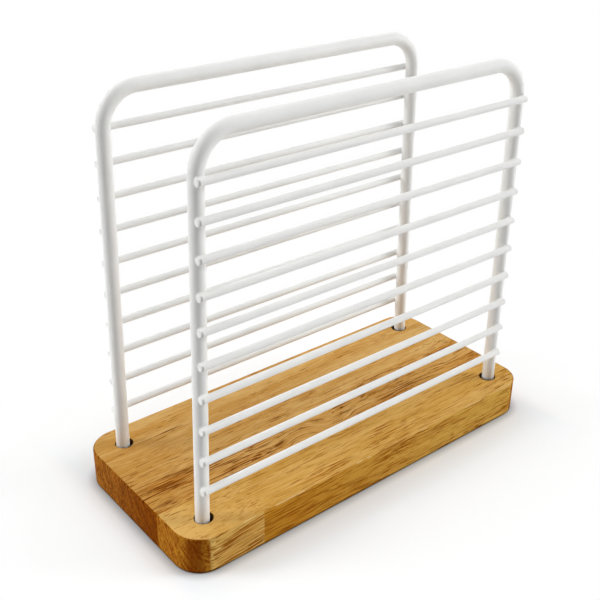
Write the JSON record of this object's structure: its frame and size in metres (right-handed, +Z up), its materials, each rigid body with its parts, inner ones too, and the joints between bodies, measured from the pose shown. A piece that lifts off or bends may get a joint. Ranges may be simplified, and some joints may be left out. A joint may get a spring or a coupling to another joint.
{
  "type": "napkin holder",
  "caption": "Upright napkin holder: two white wire grid frames standing in sockets of a rounded wooden board, holding folded napkins on edge between them.",
  "frame": {"origin": "middle of the board's underside, on the table", "axes": "+Z up, +X along the board's length to the right seen from the front, -Y towards the front frame"},
  "size_m": [0.2, 0.088, 0.1796],
  "materials": {
    "rear_stave_wood": "oiled honey-brown hardwood with dark pore streaks",
    "front_stave_wood": "oiled golden hardwood with fine pore streaks",
    "white_coating": "satin white powder coat on steel wire"
  },
  "bodies": {
    "base": {"base_rear_stave": "rear_stave_wood", "base_front_short_block": "front_stave_wood", "base_front_long_block": "front_stave_wood"},
    "front_frame": {"front_hoop": "white_coating", "front_wire_01": "white_coating", "front_wire_02": "white_coating", "front_wire_03": "white_coating", "front_wire_04": "white_coating", "front_wire_05": "white_coating", "front_wire_06": "white_coating", "front_wire_07": "white_coating", "front_wire_08": "white_coating", "front_wire_09": "white_coating", "front_wire_10": "white_coating"},
    "rear_frame": {"rear_hoop": "white_coating", "rear_wire_01": "white_coating", "rear_wire_02": "white_coating", "rear_wire_03": "white_coating", "rear_wire_04": "white_coating", "rear_wire_05": "white_coating", "rear_wire_06": "white_coating", "rear_wire_07": "white_coating", "rear_wire_08": "white_coating", "rear_wire_09": "white_coating", "rear_wire_10": "white_coating"}
  },
  "joints": [
    {"name": "front_frame_lift", "type": "slide", "parent": "base", "child": "front_frame", "axis": [0, 0, 1], "range_m": [0, 0.03]},
    {"name": "rear_frame_lift", "type": "slide", "parent": "base", "child": "rear_frame", "axis": [0, 0, 1], "range_m": [0, 0.03]}
  ]
}
